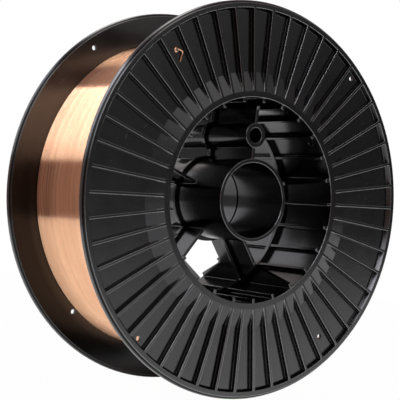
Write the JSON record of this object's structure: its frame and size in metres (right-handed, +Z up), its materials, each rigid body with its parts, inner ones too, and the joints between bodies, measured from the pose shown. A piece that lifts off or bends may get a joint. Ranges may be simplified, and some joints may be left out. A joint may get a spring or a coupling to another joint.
{
  "type": "mig welding wire spool",
  "caption": "Plastic reel with ribbed flanges and spoked hub, wound with copper-coated wire for feeding a welding gun.",
  "frame": {"origin": "middle of the reel's bore, halfway between the two flange faces", "axes": "Y along the bore with the front flange towards -Y, +Z up through the drive hole, X across"},
  "size_m": [0.27, 0.103, 0.27],
  "materials": {
    "reel_plastic": "satin",
    "wire": "bright copper coating"
  },
  "bodies": {
    "root": {"front_reel_half": "reel_plastic", "rear_reel_half": "reel_plastic", "wire_winding": "wire"}
  },
  "joints": []
}
